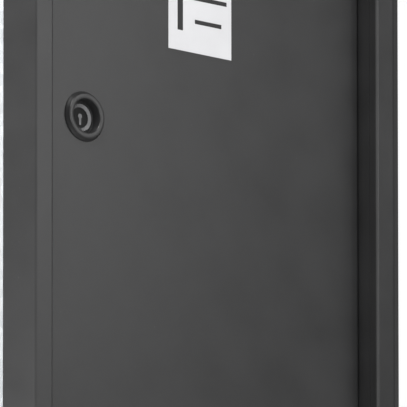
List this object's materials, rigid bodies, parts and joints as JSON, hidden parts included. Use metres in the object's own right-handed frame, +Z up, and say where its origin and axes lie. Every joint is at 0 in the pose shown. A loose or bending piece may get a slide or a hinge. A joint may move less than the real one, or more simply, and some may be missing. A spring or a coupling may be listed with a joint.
{
  "type": "parcel drop box",
  "caption": "Through-the-wall parcel drop box: recessed lockable removal door on one side, bottom-hinged intake hopper on the other, splayed steel collars.",
  "frame": {"origin": "middle of the bottom edges of the two collars", "axes": "+X to the right seen from the owner's side, -Y toward the owner (removal door), +Y toward the street (hopper), +Z up"},
  "size_m": [0.385, 0.322, 0.6],
  "materials": {
    "dark_powder_coat": "fine-texture semi-gloss powder coat",
    "zinc_sheet": "zinc-coated sheet with a soft spangle",
    "dark_die_cast": "dark coated zinc die casting",
    "bright_steel": "bright worn steel",
    "plated_steel": "zinc plated",
    "satin_steel": "satin stainless",
    "spring_steel": "oiled spring wire",
    "white_label": "matt printed film",
    "foam_seal": "closed-cell foam",
    "black_rubber": "ribbed rubber",
    "white_nylon": "nylon"
  },
  "bodies": {
    "box": {"front_collar_left": "dark_powder_coat", "front_collar_right": "dark_powder_coat", "front_collar_top": "dark_powder_coat", "front_collar_bottom": "dark_powder_coat", "door_pivot_pins": "plated_steel", "door_pivot_washers": "white_nylon", "strike_plate": "plated_steel", "rebate_left": "zinc_sheet", "rebate_right": "zinc_sheet", "rebate_top": "zinc_sheet", "rebate_bottom": "zinc_sheet", "door_seal": "foam_seal", "body_left": "zinc_sheet", "body_right": "zinc_sheet", "body_top": "zinc_sheet", "body_floor": "zinc_sheet", "parcel_mat": "black_rubber", "mortar_lugs": "zinc_sheet", "lug_rivets": "plated_steel", "baffle_plate": "zinc_sheet", "baffle_rivets": "plated_steel", "collar_screws": "plated_steel", "street_collar_left": "dark_powder_coat", "street_collar_right": "dark_powder_coat", "street_collar_top": "dark_powder_coat", "street_collar_bottom": "dark_powder_coat", "street_panel": "dark_powder_coat", "street_panel_screws": "plated_steel", "drip_rail": "dark_powder_coat", "hopper_pivot_pins": "plated_steel", "hopper_washers": "white_nylon", "hopper_springs": "spring_steel", "hopper_stops": "zinc_sheet", "stop_buffers": "black_rubber", "name_frame": "satin_steel", "name_card": "white_label"},
    "door": {"door_panel": "dark_powder_coat", "door_stiffener": "zinc_sheet", "door_pivot_blocks": "zinc_sheet", "lock_shroud": "dark_die_cast", "lock_tube": "satin_steel", "lock_nut": "plated_steel", "instruction_label": "white_label"},
    "lock": {"lock_spindle": "dark_die_cast", "lock_driver": "bright_steel", "lock_cam": "plated_steel", "cam_screw": "plated_steel"},
    "hopper": {"hopper_panel": "dark_powder_coat", "hopper_cheek_left": "dark_powder_coat", "hopper_cheek_right": "dark_powder_coat", "hopper_tray": "dark_powder_coat", "hopper_pull": "satin_steel", "pull_screws": "plated_steel", "cheek_rivets": "plated_steel"}
  },
  "joints": [
    {"name": "door_swing", "type": "hinge", "parent": "box", "child": "door", "pos_m": [0.1443, -0.137, 0.3], "axis": [0, 0, 1], "range_deg": [0, 100]},
    {"name": "lock_turn", "type": "hinge", "parent": "door", "child": "lock", "pos_m": [-0.112, -0.142, 0.34], "axis": [0, 1, 0], "range_deg": [0, 90]},
    {"name": "hopper_tilt", "type": "hinge", "parent": "box", "child": "hopper", "pos_m": [0, 0.123, 0.31], "axis": [-1, 0, 0], "range_deg": [0, 55], "stiffness_Nm_per_rad": 4, "springref_deg": -20.05, "deforming": ["hopper_springs"]}
  ]
}
